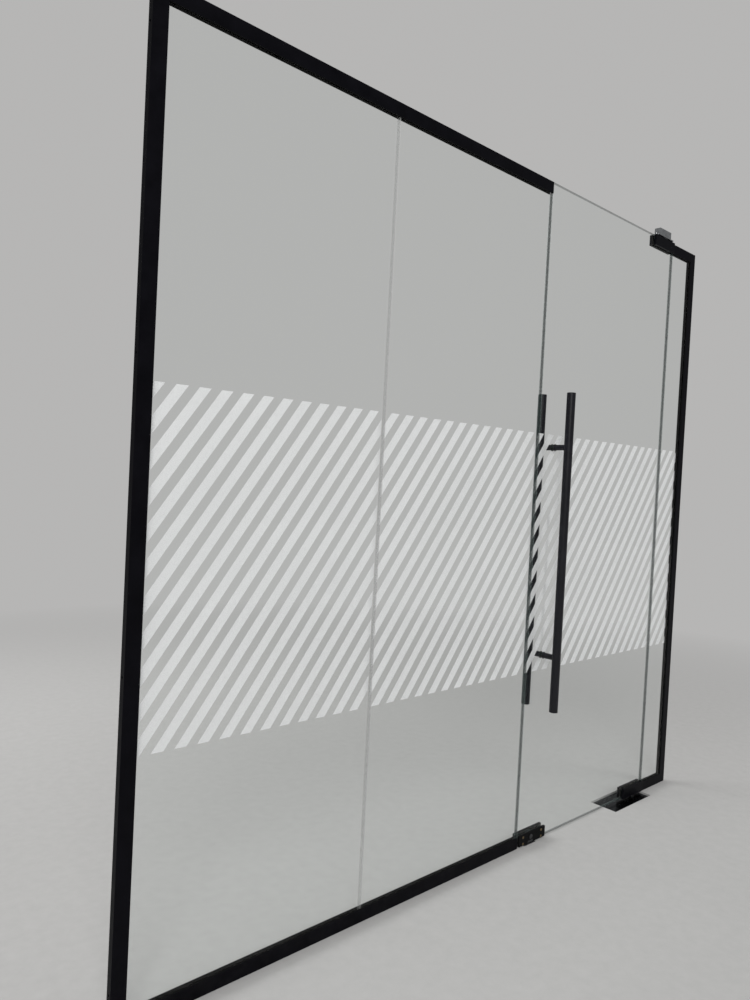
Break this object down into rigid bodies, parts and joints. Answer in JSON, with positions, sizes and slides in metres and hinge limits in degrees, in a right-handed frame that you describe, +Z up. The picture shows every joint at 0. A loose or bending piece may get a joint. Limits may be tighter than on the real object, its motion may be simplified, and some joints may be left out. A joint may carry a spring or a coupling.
{
  "type": "frameless glass entrance screen with pivot door",
  "caption": "Glass entrance screen in slim black channels: fixed panes, a sidelight and a pivot door on a floor spring with patch fittings, a floor lock and tubular pull handles.",
  "frame": {"origin": "underside of the sill channel at the middle of the screen's width, on the glass mid-plane", "axes": "+X along the screen to the right as seen from outside, +Y into the room, +Z up"},
  "size_m": [2.661, 0.16, 2.544],
  "materials": {
    "anodised_black": "satin black anodised",
    "black_rubber": "matt",
    "setting_block": "matt",
    "clear_glass": "clear toughened, faint green",
    "clear_silicone": "translucent",
    "white_film": "matt frosted",
    "zinc_steel": "zinc plated",
    "cast_housing": "painted dark grey",
    "dark_plate": "dark gloss",
    "bright_steel": "bright",
    "black_plate": "black coated",
    "black_cover": "satin black",
    "fibre_sheet": "matt",
    "bronze": "plain",
    "brass": "plain",
    "dark_nickel": "dark nickel",
    "black_handle": "satin black",
    "nylon": "matt"
  },
  "bodies": {
    "screen": {"left_jamb_channel": "anodised_black", "right_jamb_channel": "anodised_black", "fixed_head_channel": "anodised_black", "fixed_sill_channel": "anodised_black", "sidelight_head_channel": "anodised_black", "sidelight_sill_channel": "anodised_black", "jamb_gaskets": "black_rubber", "rail_gaskets": "black_rubber", "setting_blocks": "setting_block", "left_pane": "clear_glass", "middle_pane": "clear_glass", "sidelight_pane": "clear_glass", "butt_joint_seal": "clear_silicone", "left_pane_film": "white_film", "middle_pane_film": "white_film", "sidelight_film": "white_film", "floor_box": "zinc_steel", "floor_spring_body": "cast_housing", "floor_spring_lid": "zinc_steel", "floor_cover_plate": "dark_plate", "flush_screws": "bright_steel", "lock_strike": "bright_steel", "top_pivot_frame": "zinc_steel", "top_pivot_pin": "bright_steel", "top_pivot_adjuster": "bright_steel", "top_pivot_lever": "zinc_steel"},
    "door": {"floor_spindle": "bright_steel", "bottom_patch_front_plate": "black_plate", "bottom_patch_back_plate": "black_plate", "bottom_patch_gaskets": "fibre_sheet", "bottom_patch_screws": "bright_steel", "bottom_patch_front_cover": "black_cover", "bottom_patch_back_cover": "black_cover", "top_patch_front_plate": "black_plate", "top_patch_back_plate": "black_plate", "top_patch_gaskets": "fibre_sheet", "top_patch_screws": "bright_steel", "top_patch_front_cover": "black_cover", "top_patch_back_cover": "black_cover", "bottom_patch_spindle_block": "bright_steel", "top_patch_bush_block": "bright_steel", "top_patch_bush": "bronze", "lock_patch_front_plate": "black_plate", "lock_patch_back_plate": "black_plate", "lock_patch_gaskets": "fibre_sheet", "lock_patch_screws": "brass", "lock_patch_back_cover": "black_cover", "lock_case": "zinc_steel", "lock_cylinder": "dark_nickel", "door_glass": "clear_glass", "door_film": "white_film", "front_handle_tube": "black_handle", "back_handle_tube": "black_handle", "handle_caps": "black_handle", "handle_posts": "black_handle", "handle_bushes": "nylon", "handle_studs": "bright_steel", "handle_grub_screws": "bright_steel"},
    "lock_core": {"lock_plug": "dark_nickel"},
    "floor_bolt": {"lock_bolt": "bright_steel"}
  },
  "joints": [
    {"name": "door_swing", "type": "hinge", "parent": "screen", "child": "door", "pos_m": [1.0585, 0, 0], "axis": [0, 0, 1], "range_deg": [-90, 90], "stiffness_Nm_per_rad": 20},
    {"name": "lock_core_turn", "type": "hinge", "parent": "door", "child": "lock_core", "pos_m": [0.2915, 0, 0.028], "axis": [0, 1, 0], "range_deg": [0, 180]},
    {"name": "floor_bolt_slide", "type": "slide", "parent": "door", "child": "floor_bolt", "axis": [0, 0, -1], "range_m": [0, 0.014]}
  ],
  "couplings": [
    {"joint": "lock_core_turn", "follows": "floor_bolt_slide", "rad_per_m": 224.4}
  ]
}
